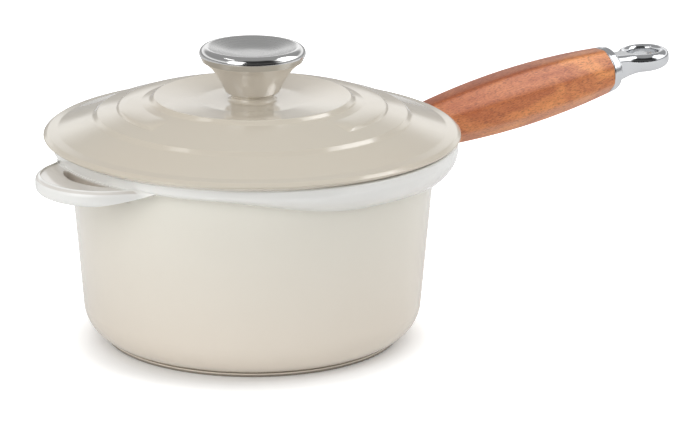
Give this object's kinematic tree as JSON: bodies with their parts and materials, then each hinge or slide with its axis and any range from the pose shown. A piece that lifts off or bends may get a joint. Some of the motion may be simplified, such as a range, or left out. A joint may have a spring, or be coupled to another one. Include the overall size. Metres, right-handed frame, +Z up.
{
  "type": "lidded saucepan",
  "caption": "Enamelled cast-iron saucepan with a ringed lift-off lid, flared steel knob, wooden grip with hanging eye, helper loop and pouring lips.",
  "frame": {"origin": "centre of the underside of the base", "axes": "+X from the pan's axis towards the long handle, +Z up, +Y completes a right-handed frame"},
  "size_m": [0.3705, 0.1936, 0.138],
  "materials": {
    "pan_enamel": "glossy cream enamel, white round the rim",
    "lid_enamel": "glossy beige enamel",
    "handle_wood": "satin oiled hardwood",
    "handle_chrome": "polished",
    "knob_steel": "satin, turned",
    "steel": "plain"
  },
  "bodies": {
    "pan": {"pan_body": "pan_enamel", "wood_handle": "handle_wood", "end_collar": "handle_chrome", "hanging_eye": "handle_chrome", "tie_rod": "steel"},
    "lid": {"lid": "lid_enamel", "knob_body": "knob_steel", "knob_cap": "knob_steel", "knob_insert": "steel", "knob_washer": "steel", "knob_screw": "steel"}
  },
  "joints": [
    {"name": "lid_lift", "type": "slide", "parent": "pan", "child": "lid", "axis": [0, 0, 1], "range_m": [0, 0.15]}
  ]
}
